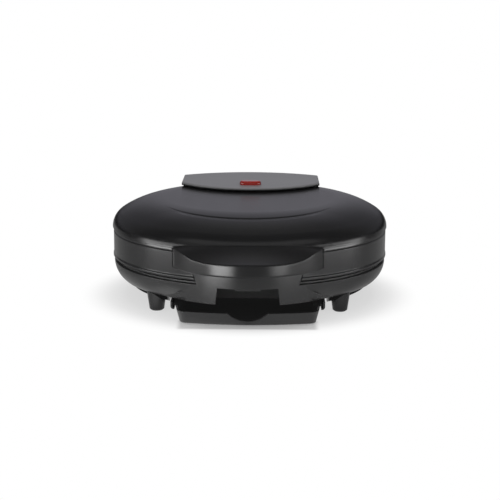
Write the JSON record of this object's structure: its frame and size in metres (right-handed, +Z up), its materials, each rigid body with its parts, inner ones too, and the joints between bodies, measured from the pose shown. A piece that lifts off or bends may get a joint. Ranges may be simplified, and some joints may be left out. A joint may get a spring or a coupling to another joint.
{
  "type": "electric burger grill",
  "caption": "Round countertop contact grill: bowl-shaped base on feet, domed hinged lid with front handle, rear cover with red indicator, ribbed plates and pull-out drip tray.",
  "frame": {"origin": "on the table under the middle of the object's overall box", "axes": "+X to the right seen from the front, +Y to the rear, away from the handle, +Z up"},
  "size_m": [0.2466, 0.2782, 0.0945],
  "materials": {
    "housing_plastic": "satin moulded black",
    "coated_aluminium": "dark non-stick coating on die-cast plate",
    "sheath_steel": "drawn tube",
    "sheet_metal": "mill-finish sheet",
    "thermostat_body": "moulded",
    "terminal_plastic": "moulded",
    "gland_rubber": "moulded",
    "screw_steel": "zinc plated",
    "foot_plastic": "smooth moulded black",
    "runner_plastic": "smooth moulded black",
    "tray_plastic": "satin moulded black",
    "gloss_black": "polished moulded black",
    "satin_band": "fine-textured satin",
    "satin_cover": "satin",
    "red_lens": "clear red, polished",
    "lamp_glass": "clear glass"
  },
  "bodies": {
    "base": {"base_housing": "housing_plastic", "lower_cooking_plate": "coated_aluminium", "lower_heating_element": "sheath_steel", "lower_heat_shield": "sheet_metal", "thermostat": "thermostat_body", "thermal_fuse": "sheath_steel", "terminal_block": "terminal_plastic", "cord_gland": "gland_rubber", "lower_plate_screws": "screw_steel", "feet": "foot_plastic", "tray_runner_left": "runner_plastic", "tray_runner_right": "runner_plastic", "hinge_pin": "screw_steel", "hinge_pin_clip": "screw_steel"},
    "tray": {"drip_tray": "tray_plastic"},
    "lid": {"lid_top": "gloss_black", "lid_band": "satin_band", "handle_underside": "housing_plastic", "handle_screws": "screw_steel", "upper_cooking_plate": "coated_aluminium", "upper_plate_screws": "screw_steel", "upper_heating_element": "sheath_steel", "upper_heat_shield": "sheet_metal", "upper_shield_screws": "screw_steel", "hinge_arm_left": "housing_plastic", "hinge_arm_right": "housing_plastic", "hinge_arm_screws": "screw_steel", "hinge_cover": "satin_cover", "indicator_lens": "red_lens", "indicator_lamp": "lamp_glass"}
  },
  "joints": [
    {"name": "lid_hinge", "type": "hinge", "parent": "base", "child": "lid", "pos_m": [0, 0.12995, 0.04], "axis": [-1, 0, 0], "range_deg": [0, 100]},
    {"name": "tray_slide", "type": "slide", "parent": "base", "child": "tray", "axis": [0, -1, 0], "range_m": [0, 0.06]}
  ]
}
